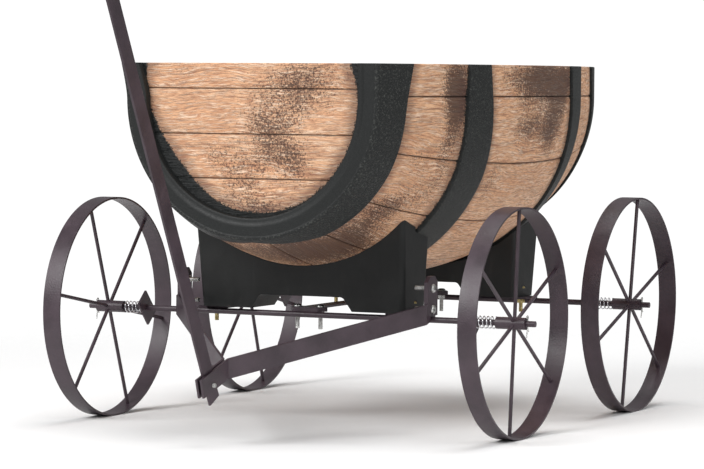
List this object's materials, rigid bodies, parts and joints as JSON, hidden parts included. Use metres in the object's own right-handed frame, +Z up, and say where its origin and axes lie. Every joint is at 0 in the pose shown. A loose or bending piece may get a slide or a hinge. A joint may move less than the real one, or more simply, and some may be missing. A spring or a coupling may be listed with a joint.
{
  "type": "half-barrel planter wagon",
  "caption": "Half-barrel garden planter on a small steel wagon with spoked band wheels, two moulded saddles and a swinging flat-bar pull handle.",
  "frame": {"origin": "on the ground, midway between the four wheels", "axes": "+Z up, +Y towards the rear of the wagon, +X to the right-hand side when it is seen from its handle end"},
  "size_m": [0.676, 1.1748, 0.7312],
  "materials": {
    "tub_wood_look": "moulded wood grain, stained tan and brown, with dark painted hoops",
    "black_plastic": "fine moulded texture",
    "powder_coat": "satin dark brown powder coat",
    "spring_chrome": "polished",
    "zinc_plate": "bright zinc plate",
    "yellow_zinc": "yellow zinc plate"
  },
  "bodies": {
    "chassis": {"barrel_tub": "tub_wood_look", "front_saddle": "black_plastic", "front_axle": "powder_coat", "front_saddle_tabs": "powder_coat", "front_reach_tab": "powder_coat", "front_reach_plate": "powder_coat", "front_left_spring_seat": "powder_coat", "front_left_spring": "spring_chrome", "front_left_cotter_pin": "zinc_plate", "front_right_spring_seat": "powder_coat", "front_right_spring": "spring_chrome", "front_right_cotter_pin": "zinc_plate", "rear_saddle": "black_plastic", "rear_axle": "powder_coat", "rear_saddle_tabs": "powder_coat", "rear_reach_tab": "powder_coat", "rear_reach_plate": "powder_coat", "rear_left_spring_seat": "powder_coat", "rear_left_spring": "spring_chrome", "rear_left_cotter_pin": "zinc_plate", "rear_right_spring_seat": "powder_coat", "rear_right_spring": "spring_chrome", "rear_right_cotter_pin": "zinc_plate", "reach_bar": "powder_coat", "left_tongue_lug": "powder_coat", "left_tongue_arm": "powder_coat", "right_tongue_lug": "powder_coat", "right_tongue_arm": "powder_coat", "reach_bolts": "zinc_plate", "reach_nuts": "zinc_plate", "tongue_bolts": "zinc_plate", "tongue_nuts": "zinc_plate", "handle_bolt": "zinc_plate", "handle_nut": "zinc_plate", "saddle_bolts": "yellow_zinc", "saddle_washers": "yellow_zinc", "saddle_nuts": "yellow_zinc"},
    "front_left_wheel": {"front_left_rim": "powder_coat", "front_left_hub": "powder_coat", "front_left_spokes": "powder_coat"},
    "front_right_wheel": {"front_right_rim": "powder_coat", "front_right_hub": "powder_coat", "front_right_spokes": "powder_coat"},
    "rear_left_wheel": {"rear_left_rim": "powder_coat", "rear_left_hub": "powder_coat", "rear_left_spokes": "powder_coat"},
    "rear_right_wheel": {"rear_right_rim": "powder_coat", "rear_right_hub": "powder_coat", "rear_right_spokes": "powder_coat"},
    "handle": {"handle_bar": "powder_coat", "handle_grip": "powder_coat"}
  },
  "joints": [
    {"name": "front_left_wheel_spin", "type": "hinge", "parent": "chassis", "child": "front_left_wheel", "pos_m": [-0.304, -0.206, 0.1525], "axis": [1, 0, 0], "continuous": true},
    {"name": "front_right_wheel_spin", "type": "hinge", "parent": "chassis", "child": "front_right_wheel", "pos_m": [0.304, -0.206, 0.1525], "axis": [1, 0, 0], "continuous": true},
    {"name": "rear_left_wheel_spin", "type": "hinge", "parent": "chassis", "child": "rear_left_wheel", "pos_m": [-0.304, 0.206, 0.1525], "axis": [1, 0, 0], "continuous": true},
    {"name": "rear_right_wheel_spin", "type": "hinge", "parent": "chassis", "child": "rear_right_wheel", "pos_m": [0.304, 0.206, 0.1525], "axis": [1, 0, 0], "continuous": true},
    {"name": "handle_swing", "type": "hinge", "parent": "chassis", "child": "handle", "pos_m": [0, -0.471, 0.0785], "axis": [1, 0, 0], "range_deg": [-37, 63]}
  ]
}
